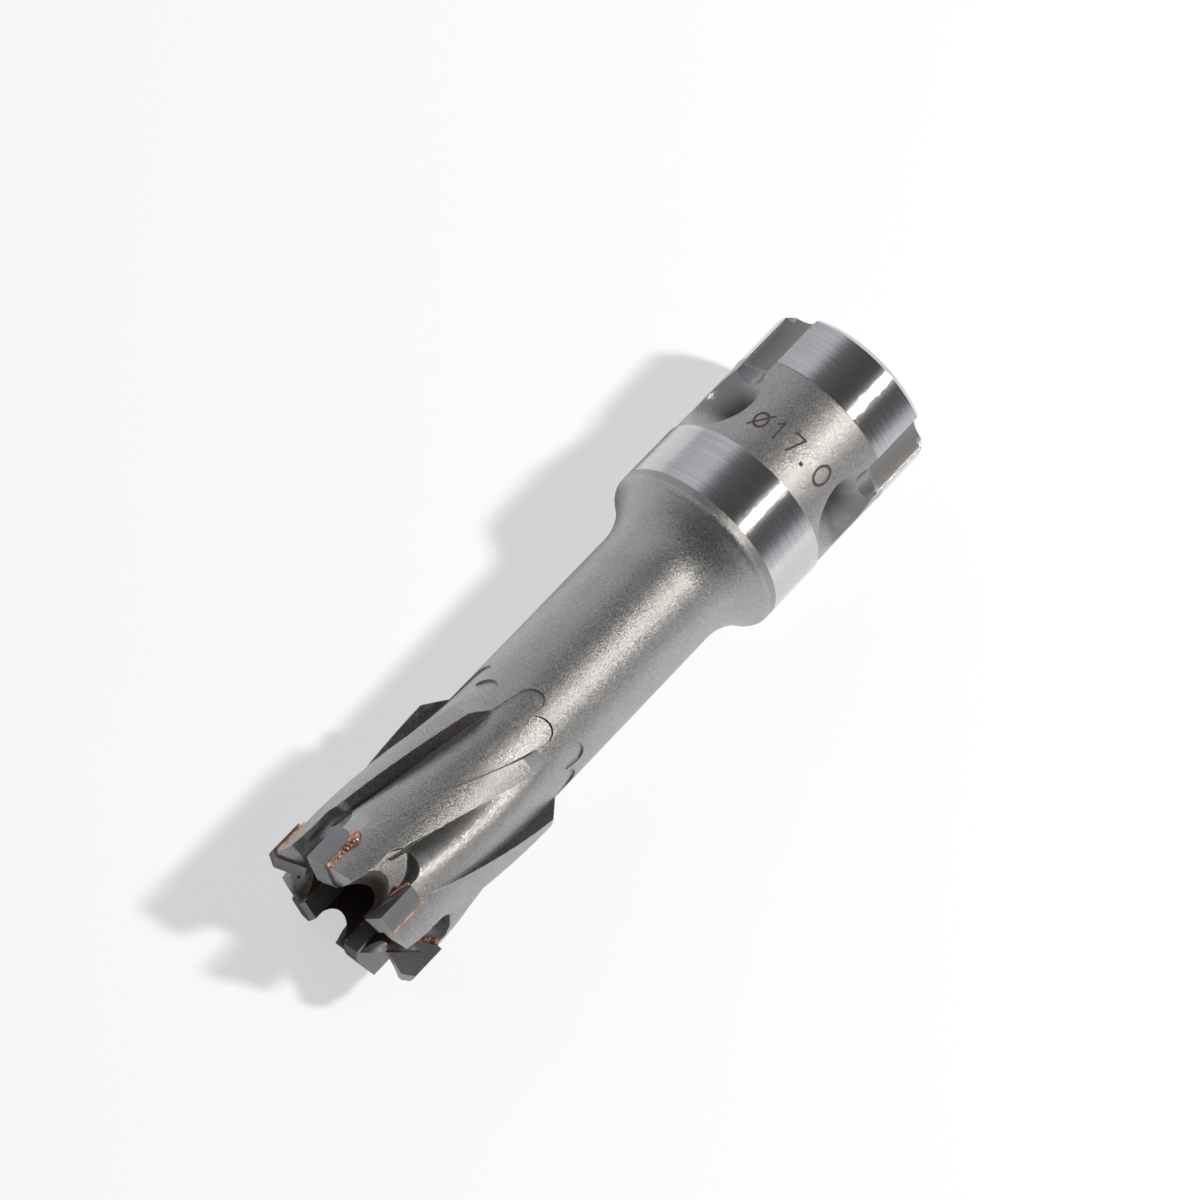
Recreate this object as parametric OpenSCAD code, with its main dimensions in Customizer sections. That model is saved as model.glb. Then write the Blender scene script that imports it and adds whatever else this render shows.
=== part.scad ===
// Annular cutter with brazed carbide tips and a one-touch shank, lying at rest.
// The tool is drawn upright, tips down at z = 0 and shank up, and then laid on a land, on
// the next tooth's tip and on the front edge of its collar. Angles are counted from straight down.

/* [Tips] */
// Cutting diameter over the tips
cut_d = 17; // [15:0.5:24]
// Length of a tip along the tool
tip_len = 4.15; // [3.5:0.05:5.5]
// Width of a tip from its outer to its inner edge
tip_w = 3.75; // [3:0.05:4.5]
// Thickness of a tip behind its cutting face
tip_t = 1.8; // [1.2:0.05:2.2]
// Radius of the rear corner of a tip
tip_corner = 0.7; // [0.2:0.1:0.9]
// How far the tips stand out beyond the steel lands
tip_proud = 0.6; // [0.3:0.05:0.9]
// How far the tips stand ahead of the steel teeth
tip_ahead = 0.25; // [0.1:0.05:0.6]
// Clearance angle of the ground end faces
end_relief = 7; // [3:1:12]
// Clearance angle of the ground outer faces
side_relief = 6; // [3:1:10]
// Thickness of the braze film round a tip
braze_gap = 0.12; // [0.06:0.02:0.2]
// Width of the braze bead on the land
bead_w = 0.85; // [0.4:0.05:1.2]
// Height of the braze bead against the tip
bead_h = 0.28; // [0.1:0.02:0.45]

/* [Fluted head] */
// Length from the tips to the ground collar
head_len = 49.75; // [44:0.25:70]
// Length of the lands from the tips
land_len = 20; // [16:0.5:28]
// Height of the lands above the neck
land_h = 1.5; // [1:0.05:1.8]
// Length of the bevel that ends a land
land_bevel = 2.1; // [1:0.1:4]
// Room between the tips' inner edges and the slug bore
slug_room = 0.3; // [0.1:0.05:0.6]
// Turn of a land's rear edge, in degrees a millimetre
rear_twist = 2.12; // [1.6:0.02:2.6]
// Turn of a land's front edge, in degrees a millimetre
lead_twist = 2.85; // [2.4:0.05:3]
// Angle from one tooth's rear edge to the next cutting face
gullet_angle = 32.5; // [28:0.5:34]
// Depth of the gullets through the wall, from the tips
gullet_depth = 2.75; // [2.2:0.05:3.4]
// Radius of the round end of a gullet
gullet_r = 1.65; // [1.3:0.05:1.9]
// Slope of the gullet's round end, deeper on the outside
gullet_slope = 42; // [30:1:43]
// Angle that a gullet opens by toward the tips
gullet_flare = 18; // [5:1:25]
// Length of the chip pocket behind a gullet, from the tips
pocket_len = 6.65; // [6:0.05:7.5]
// Radius of the round end of a chip pocket
pocket_r = 1.62; // [1.4:0.02:1.9]
// Depth of a chip pocket below the lands at its round end
pocket_depth = 1.5; // [1.2:0.05:1.7]
// Slope of the chip pocket's floor
pocket_slope = 4; // [2:1:8]
// Length of the flutes from the tips
flute_len = 26.2; // [24:0.1:32]
// Depth that the flutes leave in the neck at their rear end
flute_mark = 0.18; // [0.1:0.02:0.3]
// Width of the groove along a land's rear wall, in degrees
groove_angle = 22; // [16:1:26]

/* [Neck and shank] */
// Radius of the hollow between neck and collar
hollow_r = 5.9; // [4.5:0.1:8]
// Radius of the corner ahead of the collar
corner_r = 1; // [0.4:0.1:1.6]
// Length of the blasted lip ahead of the ground collar
lip_len = 0.7; // [0.3:0.1:1.5]
// Diameter of the shank
shank_d = 18; // [17.5:0.05:22]
// Length of the ground collar
collar_len = 6.1; // [4:0.05:10]
// Length of the blasted band
band_len = 9.5; // [8.5:0.05:14]
// Length of the ground rear ring
ring_len = 6.3; // [5:0.05:12]
// How much smaller the blasted band is than the collar, on the radius
band_step = 0.16; // [0.05:0.01:0.3]
// How much smaller the rear ring is than the collar, on the radius
ring_step = 0.11; // [0.05:0.01:0.3]
// Chamfer of the rear end
rear_chamfer = 0.6; // [0.2:0.1:1.2]
// Width of a locking groove at the rear ring
groove_w = 4.5; // [3.5:0.1:5.4]
// Radius of a locking groove's floor
groove_r = 2.9; // [2.75:0.05:5]
// Diameter of a locking dimple's mouth
dimple_d = 8.9; // [8:0.05:9.2]
// Slope of a locking dimple's cone
dimple_slope = 36; // [28:1:40]
// Gap from the ground collar to a dimple
dimple_gap = 0.2; // [0.1:0.05:1]
// Diameter of the pilot pin's bore
pilot_d = 6.35; // [5:0.05:8]
// Chamfer at the mouth of the pilot pin's bore
pilot_chamfer = 0.5; // [0.2:0.1:1]
// Point angle of the drill that made the slug bore
drill_point = 118; // [90:2:140]
// Angle of the first locking groove from straight down
groove_turn = 4.6; // [0:0.1:60]

/* [Hidden] */
$fn = 96;

teeth = 6;
pitch = 360 / teeth;
locks = 3;
over = 1;

cut_r = cut_d / 2;
tip_in_r = cut_r - tip_w;
land_r = cut_r - tip_proud;
neck_r = land_r - land_h;
bore_r = tip_in_r + slug_room;
shank_r = shank_d / 2;
band_r = shank_r - band_step;
ring_r = shank_r - ring_step;
pilot_r = pilot_d / 2;

// Heights along the tool, from the tips
lip_z = head_len - lip_len;
band_z = head_len + collar_len;
ring_z = band_z + band_len;
rear_z = ring_z + ring_len;

// The hollow and the corner ahead of the collar are two arcs that touch
hollow_rise = neck_r + hollow_r - (shank_r - corner_r);
hollow_z = lip_z - sqrt(pow(hollow_r + corner_r, 2) - pow(hollow_rise, 2));
hollow_turn = acos(hollow_rise / (hollow_r + corner_r));
bore_z = hollow_z;
bore_point = (bore_r - pilot_r) / tan(drill_point / 2);

// The flutes leave the land behind the braze and cross the neck where the land bevel ends
rear_bead = bead_w / 2;
bead_room = 0.15;
flute_z = tip_len + braze_gap + rear_bead + bead_room;
neck_z = land_len + land_bevel;
floor_lap = 0.05;
floor_fall = (land_r + floor_lap - neck_r) / (neck_z - flute_z);
foot_fall = flute_mark / (flute_len - flute_z);
cut_room = 1.6;
entry_room = 0.5;
cutter_r = land_r + cut_room;
entry_r = land_r + entry_room;
lap_angle = 1.5;
relief_short = 1.45;
pocket_lap = 0.08;
floor_steps = 4;
ring_step_z = 1.3;
end_angles = [22, 44, 62, 76, 85];

// The grinds reach behind the whole tooth, and the braze film reaches into its bead
grind_reach = land_r * sin(pitch - gullet_angle) + over;
film_r = land_r + bead_h / 2;
relief_less = 0.5;
relief_r = cut_r - relief_less;

// Dimples and locking grooves in the shank
dimple_r = dimple_d / 2;
dimple_z = band_z + dimple_gap + dimple_r;
groove_axis = sqrt(pow(ring_r, 2) - pow(groove_w / 2, 2)) + sqrt(pow(groove_r, 2) - pow(groove_w / 2, 2));

// End grinds of the tips: drop at the outer edge, where the flat starts and ends from
// the outer edge, and drop at the inner edge
OUTER_LEAD = [0.6, 1, 1.2, 1];
FULL_WIDTH = [0.05, 0.25, 3, 0.3];
INNER_LEAD = [0.85, 2.6, 3.1, 0.3];
GRINDS = [INNER_LEAD, INNER_LEAD, OUTER_LEAD, FULL_WIDTH, FULL_WIDTH, OUTER_LEAD];

// The tool lies on a land's rear edge, where the flared gullet meets it, on the next tooth's
// cutting corner and on its collar
rest_tip_z = INNER_LEAD[0];
edge_x = sqrt(pow(land_r, 2) - pow(2 * gullet_r, 2));
edge_back = (edge_x - bore_r) * sin(gullet_slope) + (gullet_depth - rest_tip_z) * cos(gullet_slope);
edge_y = 2 * gullet_r + max(0, edge_back - gullet_r) * tan(gullet_flare);
rest_turn = atan((cut_r - sqrt(pow(land_r, 2) - pow(edge_y, 2))) / edge_y);
rest_tip_r = cut_r * cos(rest_turn);
rest_tilt = atan((shank_r - rest_tip_r) / (lip_z - rest_tip_z));
rest_height = rest_tip_r * cos(rest_tilt) - rest_tip_z * sin(rest_tilt);
tip_reach = -(cut_r - FULL_WIDTH[1]) * cos(rest_turn) * sin(rest_tilt);
rear_reach = rear_z * cos(rest_tilt) + (ring_r - rear_chamfer) * sin(rest_tilt);
mid_x = (tip_reach + rear_reach) / 2;

steel = "#8d8c88";
carbide = "#5b5d5c";
copper = "#b9794f";

function tooth_angle(i) = pitch * (i - 1) + rest_turn;
function polar(r, a) = [r * cos(a), r * sin(a)];
function arc(centre, r, from, to, steps = 12) =
    [for (k = [0 : steps]) centre + polar(r, from + (to - from) * k / steps)];

// Angles of a land's two edges at a height, from the cutting face behind the flute
function rear_edge(z) = -gullet_angle + rear_twist * z;
function lead_edge(z) = lead_twist * (z - flute_z) + asin(tip_t / land_r);

// Radius of the flute's floor, and of its foot at the land's rear wall
function floor_radius(z) = land_r + floor_lap - floor_fall * (z - flute_z);
function foot_radius(z) = neck_r - foot_fall * (z - flute_z);

// Stretches a cross-section toward its middle, as at the round end of a milled cut
function narrowed(pair, share) =
    let (mid = (pair[0] + pair[1]) / 2, half = (pair[1] - pair[0]) / 2)
    [mid - half * share, mid + half * share];

// One cross-section of a cut between two angles, with its floor rising from one radius to another
function cut_ring(z, pair, low, high) = concat(
    [concat(polar(cutter_r, pair[0]), z)],
    [for (k = [0 : floor_steps])
        let (share = k / floor_steps, a = pair[0] + (pair[1] - pair[0]) * share)
        concat(polar(low + (high - low) * sin(90 * share), a), z)],
    [concat(polar(cutter_r, pair[1]), z)]
);

// Skins a row of cross-sections that have the same number of points
module loft(rings) {
    count = len(rings[0]);
    last = len(rings) - 1;
    sides = [for (k = [0 : last - 1], j = [0 : count - 1])
        let (a = k * count + j, b = k * count + (j + 1) % count)
        each [[a, b, b + count], [a, b + count, a + count]]];
    bottom = [for (j = [count - 1 : -1 : 0]) j];
    top = [for (j = [0 : count - 1]) last * count + j];
    polyhedron([for (ring = rings) each ring], concat([bottom], sides, [top]), convexity = 6);
}

// Heights of the cross-sections from one height to another
function levels(from, to) =
    let (steps = ceil((to - from) / ring_step_z))
    [for (k = [0 : steps]) from + (to - from) * k / steps];

// The groove along a land's rear wall, from the gullet to its round end in the neck
module flute_groove() {
    half = neck_r * groove_angle / 2 * PI / 180;
    straight = flute_len - half;
    function sides(z) = [rear_edge(z), rear_edge(z) + groove_angle];
    function section(z, share) = cut_ring(z, narrowed(sides(z), share),
        foot_radius(z), max(foot_radius(z), min(land_r + floor_lap, floor_radius(z))));
    entry = pocket_len - 2 * pocket_r;
    loft(concat(
        [cut_ring(entry, sides(entry), entry_r, entry_r)],
        [for (z = levels(pocket_len - pocket_r, straight)) section(z, 1)],
        [for (a = end_angles) section(straight + half * sin(a), cos(a))]
    ));
}

// The wide relief in front of a land, which deepens toward the shank
module flute_relief() {
    function sides(z) = [rear_edge(z) + groove_angle - lap_angle, lead_edge(z)];
    wide = sides(flute_len)[1] - sides(flute_len)[0];
    half = neck_r * wide / 2 * PI / 180;
    straight = flute_len - half - relief_short;
    function section(z, share) = cut_ring(z, narrowed(sides(z), share), floor_radius(z), floor_radius(z));
    loft(concat(
        [for (z = levels(flute_z, straight)) section(z, 1)],
        [for (a = end_angles) section(straight + half * sin(a), cos(a))]
    ));
}

// Draws an outline given across and along the tool, and extrudes it outward from the axis
module outward(from, to) {
    translate([from, 0, 0]) rotate([90, 0, 90]) linear_extrude(to - from) children();
}

// The open gullet in front of a cutting face, cut through the wall to the bore
module gullet() {
    far = gullet_depth + cutter_r;
    translate([bore_r, 0, gullet_depth]) rotate([0, -gullet_slope, 0]) outward(-cutter_r, cutter_r) {
        translate([-gullet_r, -gullet_r]) circle(gullet_r);
        polygon([
            [0, -far],
            [0, -gullet_r],
            [-2 * gullet_r, -gullet_r],
            [-2 * gullet_r - (far - gullet_r) * tan(gullet_flare), -far]
        ]);
    }
}

// The shallow chip pocket that leads from the gullet into the flute
module chip_pocket() {
    translate([land_r - pocket_depth, 0, pocket_len]) rotate([0, pocket_slope, 0]) outward(0, cutter_r) {
        translate([pocket_lap - pocket_r, -pocket_r]) circle(pocket_r);
        translate([pocket_lap - 2 * pocket_r, gullet_depth - pocket_len])
            square([2 * pocket_r, pocket_len - gullet_depth - pocket_r]);
    }
}

// Outline of a tip seen from outside, grown by a margin behind and at the rear
module tip_outline(margin = 0) {
    r = tip_corner + margin;
    centre = [tip_t - tip_corner, tip_len - tip_corner];
    polygon(concat(
        [[0, -over], [tip_t + margin, -over]],
        arc(centre, r, 0, 90),
        [[0, tip_len + margin]]
    ));
}

// All that lies behind a tooth's end grind, set back from the tips
module behind_grind(grind, set_back) {
    far = tip_w + over;
    deep = tip_len + far;
    side = grind_reach + over;
    translate([0, 0, set_back]) rotate([end_relief, 0, 0]) rotate([90, 0, 0])
        translate([0, 0, -side]) linear_extrude(side + over)
            polygon([
                [cut_r - grind[2] - far, far * grind[3] / (tip_w - grind[2])],
                [cut_r - grind[2], 0],
                [cut_r - grind[1], 0],
                [cut_r - grind[1] + far, far * grind[0] / grind[1]],
                [cut_r - grind[1] + far, deep],
                [cut_r - grind[2] - far, deep]
            ]);
}

// All that lies ahead of a steel tooth's end grind
module ahead_of_tooth(grind) {
    difference() {
        translate([tip_in_r - over, 0, -over]) cube([cut_r, grind_reach, tip_len]);
        behind_grind(grind, tip_ahead);
    }
}

// One carbide tip: a ground block with its cutting face on the plane through the axis
module tip(i) {
    rotate(tooth_angle(i)) intersection() {
        outward(tip_in_r, cut_r + over) tip_outline();
        behind_grind(GRINDS[i], 0);
        translate([cut_r - relief_r * cos(side_relief), -relief_r * sin(side_relief), -over])
            cylinder(r = relief_r, h = tip_len + 2 * over);
    }
}

// The braze round one tip: a thin film in the seat and a bead on the land
module braze(i) {
    top = land_r + bead_h;
    side_fall = land_r - sqrt(pow(land_r, 2) - pow(tip_t + bead_w, 2));
    rotate(tooth_angle(i)) intersection() {
        behind_grind(GRINDS[i], tip_ahead);
        union() {
            intersection() {
                outward(bore_r - over, film_r) difference() {
                    tip_outline(braze_gap);
                    tip_outline();
                }
                difference() {
                    cylinder(r = film_r, h = flute_z);
                    translate([0, 0, -over]) cylinder(r = bore_r, h = flute_z + 2 * over);
                }
            }
            difference() {
                intersection() {
                    linear_extrude(flute_z) polygon([
                        [bore_r, 0], [top, 0], [top, tip_t],
                        [land_r - side_fall, tip_t + bead_w], [bore_r, tip_t + bead_w]
                    ]);
                    rotate([90, 0, 0]) translate([0, 0, -cut_r]) linear_extrude(2 * cut_r) polygon([
                        [bore_r, 0], [top, 0], [top, tip_len],
                        [land_r, tip_len + rear_bead], [bore_r, tip_len + rear_bead]
                    ]);
                }
                outward(0, cut_r + over) tip_outline();
                translate([0, 0, -over]) cylinder(r = land_r, h = flute_z + 2 * over);
            }
        }
    }
}

// Turned blank of the body: lands, bevel, neck, hollow, collar, band and ring, bored through
module blank() {
    hollow = [hollow_z, neck_r + hollow_r];
    corner = [lip_z, shank_r - corner_r];
    outside = concat(
        [[0, bore_r], [0, land_r], [land_len, land_r], [neck_z, neck_r]],
        arc(hollow, hollow_r, -90, hollow_turn - 90, 20),
        arc(corner, corner_r, hollow_turn + 90, 90, 8),
        [[band_z, shank_r], [band_z, band_r], [ring_z, band_r], [ring_z, ring_r],
            [rear_z - rear_chamfer, ring_r], [rear_z, ring_r - rear_chamfer]]
    );
    inside = [
        [rear_z, pilot_r + pilot_chamfer], [rear_z - pilot_chamfer, pilot_r],
        [bore_z + bore_point, pilot_r], [bore_z, bore_r]
    ];
    rotate_extrude() polygon([for (p = concat(outside, inside)) [p[1], p[0]]]);
}

// One locking place of the shank: a groove from the rear end that runs into a conical dimple
module lock_place() {
    deep = dimple_r * tan(dimple_slope);
    translate([groove_axis, 0, dimple_z]) cylinder(r = groove_r, h = rear_z - dimple_z + over);
    translate([band_r - deep, 0, dimple_z]) rotate([0, 90, 0])
        cylinder(r1 = 0, r2 = dimple_r + over / tan(dimple_slope), h = deep + over);
}

module body() {
    difference() {
        blank();
        for (i = [0 : teeth - 1]) rotate(tooth_angle(i)) {
            gullet();
            chip_pocket();
            flute_groove();
            flute_relief();
            outward(tip_in_r - over, cutter_r + over) tip_outline(braze_gap);
            ahead_of_tooth(GRINDS[i]);
        }
        for (k = [0 : locks - 1]) rotate(groove_turn + 360 / locks * k) lock_place();
    }
}

// Lays the upright tool down as it rests
module at_rest() {
    translate([-mid_x, 0, rest_height]) rotate([0, 90 - rest_tilt, 0]) children();
}

module cutter_body() { color(steel) at_rest() body(); }
module carbide_tip(i) { color(carbide) at_rest() tip(i); }
module braze_joint(i) { color(copper) at_rest() braze(i); }

cutter_body();
for (i = [0 : teeth - 1]) {
    carbide_tip(i);
    braze_joint(i);
}
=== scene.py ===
"""Annular cutter with brazed carbide tips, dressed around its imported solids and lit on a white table."""

import logging
import math
from dataclasses import dataclass, field
from enum import Enum
from typing import Any, Iterable, Optional, Sequence, Union

import bmesh
import bpy
from mathutils import Matrix, Vector


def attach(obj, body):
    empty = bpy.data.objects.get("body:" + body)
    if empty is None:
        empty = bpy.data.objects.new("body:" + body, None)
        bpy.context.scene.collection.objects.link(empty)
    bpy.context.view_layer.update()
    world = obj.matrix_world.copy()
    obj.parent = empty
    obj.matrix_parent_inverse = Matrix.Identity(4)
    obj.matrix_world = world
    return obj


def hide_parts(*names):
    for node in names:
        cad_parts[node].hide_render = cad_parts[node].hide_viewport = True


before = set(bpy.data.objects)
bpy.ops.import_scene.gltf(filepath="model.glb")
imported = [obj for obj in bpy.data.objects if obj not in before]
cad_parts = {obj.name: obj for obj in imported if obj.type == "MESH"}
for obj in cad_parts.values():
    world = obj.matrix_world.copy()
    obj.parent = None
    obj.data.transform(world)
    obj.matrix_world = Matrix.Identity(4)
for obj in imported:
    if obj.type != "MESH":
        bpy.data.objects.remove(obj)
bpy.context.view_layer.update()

LOG = logging.getLogger("annular_cutter")
Number = Union[int, float]
Colour = tuple[float, float, float]
TEETH = 6
LOCKS = 3
MM = 0.001


@dataclass(frozen=True)
class LyingTool:
    """Where the upright tool lies: its sizes along and across are in millimetres from the tips."""

    tilt_deg: float = 1.3505
    middle: float = 35.822798
    height: float = 7.841466

    @property
    def axis(self) -> Vector:
        """Direction from the tips to the shank."""
        tilt = math.radians(self.tilt_deg)
        return Vector((math.cos(tilt), 0.0, math.sin(tilt)))

    @property
    def down(self) -> Vector:
        """Direction across the tool that points to the table."""
        tilt = math.radians(self.tilt_deg)
        return Vector((math.sin(tilt), 0.0, -math.cos(tilt)))

    @property
    def start(self) -> Vector:
        """Middle of the tips' circle, in millimetres."""
        return Vector((-self.middle, 0.0, self.height))

    def place(self, radius: float, angle_deg: float, along: float) -> Vector:
        """Finds a point from its place on the tool.

        Args:
            radius: Distance from the tool's axis.
            angle_deg: Angle from straight down.
            along: Distance from the tips.

        Returns:
            The point in metres.
        """
        turn = math.radians(angle_deg)
        across = self.down * (radius * math.cos(turn)) + Vector((0.0, radius * math.sin(turn), 0.0))
        return (self.start + across + self.axis * along) * MM


TOOL = LyingTool()


class Value:
    """A number socket that takes part in Python arithmetic by adding Math nodes."""

    def __init__(self, nodes: "Nodes", socket: bpy.types.NodeSocket) -> None:
        """Wraps one output socket."""
        self.nodes = nodes
        self.socket = socket

    def math(self, operation: str, *others: "Operand", clamp: bool = False) -> "Value":
        """Adds a Math node that starts from this value.

        Args:
            operation: Name of the Math node's operation.
            others: Its further operands.
            clamp: Whether the result stays between 0 and 1.

        Returns:
            The result.
        """
        return self.nodes.math(operation, self, *others, clamp=clamp)

    def __add__(self, other: "Operand") -> "Value":
        """Sum."""
        return self.math("ADD", other)

    __radd__ = __add__

    def __sub__(self, other: "Operand") -> "Value":
        """Difference."""
        return self.math("SUBTRACT", other)

    def __rsub__(self, other: "Operand") -> "Value":
        """Difference from a number."""
        return self.nodes.math("SUBTRACT", other, self)

    def __mul__(self, other: "Operand") -> "Value":
        """Product."""
        return self.math("MULTIPLY", other)

    __rmul__ = __mul__

    def __truediv__(self, other: "Operand") -> "Value":
        """Quotient."""
        return self.math("DIVIDE", other)

    def __rtruediv__(self, other: "Operand") -> "Value":
        """Quotient of a number."""
        return self.nodes.math("DIVIDE", other, self)

    def __pow__(self, other: "Operand") -> "Value":
        """Power."""
        return self.math("POWER", other)

    def __neg__(self) -> "Value":
        """Negative."""
        return self.math("MULTIPLY", -1.0)

    def __abs__(self) -> "Value":
        """Size without its sign."""
        return self.math("ABSOLUTE")

    def ease(self, start: Number, end: Number) -> "Value":
        """Rises smoothly from 0 at start to 1 at end, or falls where end is the lower.

        Args:
            start: Value that gives 0.
            end: Value that gives 1.

        Returns:
            The eased value.
        """
        low, high = min(start, end), max(start, end)
        flip = end < start
        return self.nodes.value(
            "ShaderNodeMapRange",
            {"interpolation_type": "SMOOTHSTEP", "clamp": True},
            {
                "Value": self,
                "From Min": low,
                "From Max": high,
                "To Min": 1.0 if flip else 0.0,
                "To Max": 0.0 if flip else 1.0,
            },
        )

    def between(self, low: Number, high: Number, soft: Number) -> "Value":
        """Gives 1 between two values and fades to 0 over a soft edge outside them.

        Args:
            low: Lower end.
            high: Upper end.
            soft: Width of the edge.

        Returns:
            The mask.
        """
        return self.ease(low - soft, low) * self.ease(high + soft, high)


Operand = Union[Value, int, float]


class Nodes:
    """A node tree, built from expressions."""

    def __init__(self, tree: bpy.types.NodeTree) -> None:
        """Empties the tree."""
        self.tree = tree
        self.tree.nodes.clear()

    def node(
        self,
        kind: str,
        settings: Optional[dict[str, Any]] = None,
        sockets: Optional[dict[Union[str, int], Any]] = None,
    ) -> bpy.types.Node:
        """Adds a node.

        Args:
            kind: Blender's name of the node type.
            settings: Its own settings, set first; "stops" fills a colour ramp.
            sockets: Values or links of its inputs, by name or place.

        Returns:
            The node.
        """
        made = self.tree.nodes.new(kind)
        for name, setting in (settings or {}).items():
            if name == "stops":
                self._fill_ramp(made.color_ramp, setting)
            else:
                setattr(made, name, setting)
        for key, given in (sockets or {}).items():
            self.put(made.inputs[key], given)
        return made

    @staticmethod
    def _fill_ramp(ramp: bpy.types.ColorRamp, stops: Sequence[tuple[float, Colour]]) -> None:
        """Fills a colour ramp with its stops.

        Args:
            ramp: The ramp.
            stops: Places and colours.
        """
        while len(ramp.elements) < len(stops):
            ramp.elements.new(1.0)
        for element, (place, colour) in zip(ramp.elements, stops):
            element.position = place
            element.color = (*colour, 1.0)

    def put(self, socket: bpy.types.NodeSocket, given: Any) -> None:
        """Links or sets an input.

        Args:
            socket: The input.
            given: A Value, an output socket, or a plain value.
        """
        if isinstance(given, Value):
            self.tree.links.new(given.socket, socket)
        elif isinstance(given, bpy.types.NodeSocket):
            self.tree.links.new(given, socket)
        elif socket.type == "RGBA" and len(given) == 3:
            socket.default_value = (*given, 1.0)
        else:
            socket.default_value = given

    def value(
        self,
        kind: str,
        settings: Optional[dict[str, Any]] = None,
        sockets: Optional[dict[Union[str, int], Any]] = None,
        output: Union[str, int] = 0,
    ) -> Value:
        """Adds a node and wraps one of its outputs.

        Args:
            kind: Blender's name of the node type.
            settings: Its own settings.
            sockets: Values or links of its inputs.
            output: Which output to wrap.

        Returns:
            The wrapped output.
        """
        return Value(self, self.node(kind, settings, sockets).outputs[output])

    def math(self, operation: str, *operands: Operand, clamp: bool = False) -> Value:
        """Adds a Math node.

        Args:
            operation: Name of its operation.
            operands: Its operands.
            clamp: Whether the result stays between 0 and 1.

        Returns:
            The result.
        """
        return self.value(
            "ShaderNodeMath",
            {"operation": operation, "use_clamp": clamp},
            dict(enumerate(operands)),
        )

    def blend(self, share: Operand, first: Any, second: Any) -> bpy.types.NodeSocket:
        """Mixes two colours.

        Args:
            share: How much of the second.
            first: Colour or colour socket.
            second: Colour or colour socket.

        Returns:
            The mixed colour's socket.
        """
        made = self.node(
            "ShaderNodeMix",
            {"data_type": "RGBA", "blend_type": "MIX"},
            {"Factor": share, 6: first, 7: second},
        )
        return made.outputs[2]

    def noise(self, vector: Any, scale: float, detail: float = 2.0, rough: float = 0.5) -> Value:
        """Adds a noise pattern.

        Args:
            vector: Where it is read.
            scale: Its cells in a unit of the vector.
            detail: Its octaves.
            rough: Share of the finer octaves.

        Returns:
            The noise, about 0.5 on average.
        """
        return self.value(
            "ShaderNodeTexNoise",
            {"noise_dimensions": "3D"},
            {"Vector": vector, "Scale": scale, "Detail": detail, "Roughness": rough},
        )

    def bump(self, height: Value, strength: float, distance: float, under: Any = None) -> bpy.types.NodeSocket:
        """Adds a bump.

        Args:
            height: The relief.
            strength: Its strength.
            distance: Its depth, in metres.
            under: A normal that it is laid over.

        Returns:
            The bumped normal's socket.
        """
        sockets = {"Strength": strength, "Distance": distance, "Height": height}
        if under is not None:
            sockets["Normal"] = under
        return self.node("ShaderNodeBump", None, sockets).outputs["Normal"]


class Paint(Nodes):
    """A material's nodes."""

    def __init__(self, name: str) -> None:
        """Makes a node material with a Principled shader.

        Args:
            name: The material's name.
        """
        self.material = bpy.data.materials.new(name)
        self.material.use_nodes = True
        super().__init__(self.material.node_tree)
        self.shader = self.node("ShaderNodeBsdfPrincipled")
        self.output = self.node("ShaderNodeOutputMaterial", None, {"Surface": self.shader.outputs["BSDF"]})

    def finish(self, **sockets: Any) -> bpy.types.Material:
        """Sets the shader's sockets.

        Args:
            sockets: Values or links, with underscores for spaces in the names.

        Returns:
            The material.
        """
        for name, given in sockets.items():
            self.put(self.shader.inputs[name.replace("_", " ")], given)
        return self.material


@dataclass
class ToolPlace:
    """Where a shaded point lies on the tool, in millimetres and radians."""

    paint: Paint
    point: bpy.types.NodeSocket = field(init=False)
    along: Value = field(init=False)
    down: Value = field(init=False)
    side: Value = field(init=False)
    radius: Value = field(init=False)
    turn: Value = field(init=False)

    def __post_init__(self) -> None:
        """Works the places out from Object coordinates."""
        self.point = self.paint.node("ShaderNodeTexCoord").outputs["Object"]
        self.along = self._measure(TOOL.axis)
        self.down = self._measure(TOOL.down)
        self.side = self._measure(Vector((0.0, 1.0, 0.0)))
        self.radius = self.paint.math("SQRT", self.down * self.down + self.side * self.side)
        self.turn = self.paint.math("ARCTAN2", -self.side, -self.down)

    def _measure(self, direction: Vector) -> Value:
        """Measures along a direction.

        Args:
            direction: The direction.

        Returns:
            Millimetres from the middle of the tips' circle.
        """
        dot = self.paint.value(
            "ShaderNodeVectorMath",
            {"operation": "DOT_PRODUCT"},
            {0: self.point, 1: tuple(direction / MM)},
            "Value",
        )
        return dot - TOOL.start.dot(direction)

    def rolled_out(self, along: float, around: float) -> bpy.types.NodeSocket:
        """Lays the turned surface out flat, stretched along and around.

        Args:
            along: Scale along the tool.
            around: Scale around it.

        Returns:
            The vector's socket.
        """
        return self.paint.node(
            "ShaderNodeCombineXYZ", None, {"X": self.along * along, "Y": self.turn * around, "Z": self.radius * along}
        ).outputs["Vector"]


@dataclass(frozen=True)
class ShankZones:
    """Where the shank's finishes change, in millimetres from the tips."""

    lip: float = 49.05
    collar: float = 49.75
    band: float = 55.85
    ring: float = 65.35
    rear: float = 71.65
    collar_r: float = 9.0
    band_r: float = 8.84
    ring_r: float = 8.89
    dimple_along: float = 60.5
    lock_turn_deg: float = 4.6


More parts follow.
